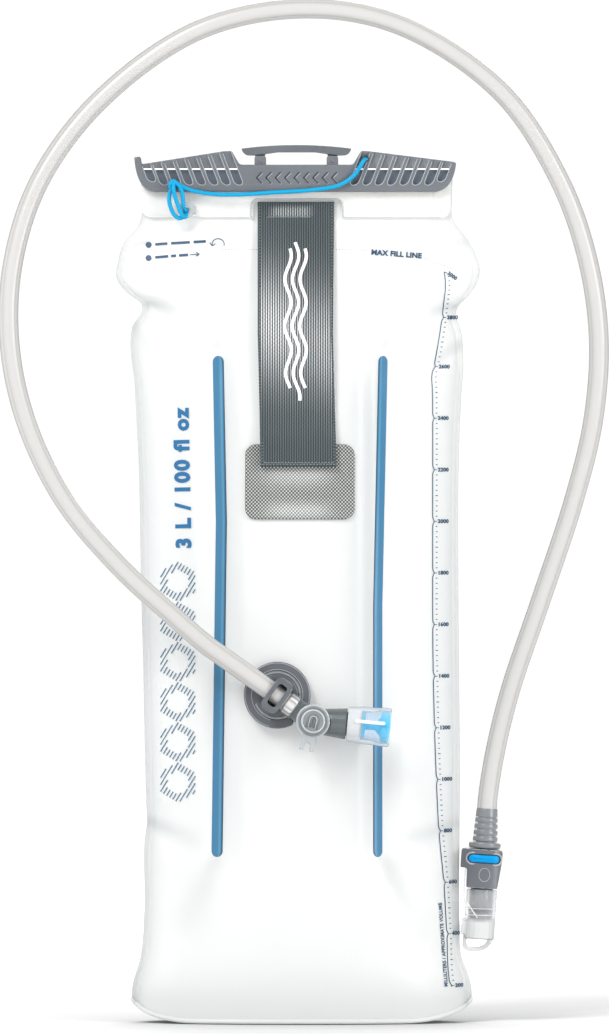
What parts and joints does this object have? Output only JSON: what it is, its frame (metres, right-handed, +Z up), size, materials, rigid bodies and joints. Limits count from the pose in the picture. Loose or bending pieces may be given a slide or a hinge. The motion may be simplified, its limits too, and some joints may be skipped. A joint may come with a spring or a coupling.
{
  "type": "hydration bladder",
  "caption": "Soft drinking-water reservoir with a slide-off top bar, hand strap, side port, quick-release hose, hose clip and bite valve with a shut-off lever.",
  "frame": {"origin": "middle of the base panel's flat underside, on the ground", "axes": "+Z up the bag, the front with the hand strap and the shut-off valve faces -Y, +X towards the side port"},
  "size_m": [0.2916, 0.0948, 0.4906],
  "materials": {
    "film": "milky translucent film, satin",
    "baffle": "blue woven baffle",
    "webbing": "grey-green woven webbing",
    "frosted": "frosted stiff strip",
    "clear": "clear moulded plastic",
    "cord": "bright blue braided cord",
    "grey_plastic": "mid grey moulded, satin",
    "dark_plastic": "darker grey moulded, satin",
    "pin": "grey pin",
    "boot": "soft grey ribbed boot",
    "button": "bright blue",
    "tube": "clear soft tube",
    "silicone": "light blue soft plug",
    "clear_soft": "clear silicone sheath",
    "seal": "black seal",
    "spring_steel": "bright wire"
  },
  "bodies": {
    "reservoir": {"front_panel": "film", "back_panel": "film", "base_panel": "film", "baffle_left": "baffle", "baffle_right": "baffle", "strap_patch": "webbing", "webbing_strap": "webbing", "collar_strip": "frosted", "mouth_flap": "film", "mouth_rail_inner": "frosted", "mouth_rail_outer": "frosted", "lanyard_tab": "clear", "lanyard_cord": "cord", "side_port": "clear", "port_spring": "spring_steel"},
    "poppet": {"port_poppet": "grey_plastic"},
    "slider": {"slide_bar": "grey_plastic", "carry_handle": "grey_plastic", "handle_pin_left": "pin", "handle_pin_right": "pin"},
    "connector": {"plug_barrel": "dark_plastic", "plug_o_ring": "seal", "connector_body": "grey_plastic", "strain_relief": "boot", "tube_arch": "tube", "button_spring_left": "spring_steel", "button_spring_right": "spring_steel"},
    "button": {"release_button": "button"},
    "tube_end": {"tube_tail": "tube", "valve_body": "dark_plastic", "bite_plug": "silicone"},
    "shutoff": {"shutoff_core": "dark_plastic", "core_o_ring": "seal", "shutoff_lever": "clear"},
    "sheath": {"bite_sheath": "clear_soft"},
    "clip": {"clip_collar": "grey_plastic"},
    "hook": {"clip_hook": "grey_plastic"}
  },
  "joints": [
    {"name": "slide_bar_off", "type": "slide", "parent": "reservoir", "child": "slider", "axis": [-1, 0, 0], "range_m": [0, 0.16], "deforming": ["lanyard_cord"]},
    {"name": "connector_unplug", "type": "slide", "parent": "reservoir", "child": "connector", "axis": [0.0645, 0, 0.9979], "range_m": [0, 0.03]},
    {"name": "poppet_rise", "type": "slide", "parent": "reservoir", "child": "poppet", "axis": [0.0645, 0, 0.9979], "range_m": [0, 0.001], "deforming": ["port_spring"]},
    {"name": "button_press", "type": "slide", "parent": "connector", "child": "button", "axis": [0, 1, 0], "range_m": [0, 0.0015], "stiffness_N_per_m": 800, "deforming": ["button_spring_left", "button_spring_right"]},
    {"name": "tube_swing", "type": "hinge", "parent": "connector", "child": "tube_end", "pos_m": [0.00462, -0.01399, 0.48581], "axis": [-1, 0, 0], "range_deg": [0, 45]},
    {"name": "shutoff_turn", "type": "hinge", "parent": "tube_end", "child": "shutoff", "pos_m": [0.0065, -0.049, 0.1453], "axis": [0, 1, 0], "range_deg": [0, 90]},
    {"name": "sheath_twist", "type": "hinge", "parent": "tube_end", "child": "sheath", "pos_m": [0.0065, -0.049, 0.1453], "axis": [0.9962, 0, -0.0872], "continuous": true},
    {"name": "clip_slide", "type": "slide", "parent": "tube_end", "child": "clip", "axis": [-0.8141, 0, 0.5807], "range_m": [0, 0.02]},
    {"name": "clip_swivel", "type": "hinge", "parent": "clip", "child": "hook", "pos_m": [-0.0106, -0.049, 0.15749], "axis": [0, 1, 0], "continuous": true}
  ],
  "couplings": [
    {"joint": "poppet_rise", "follows": "connector_unplug", "ratio": 0.0333}
  ]
}
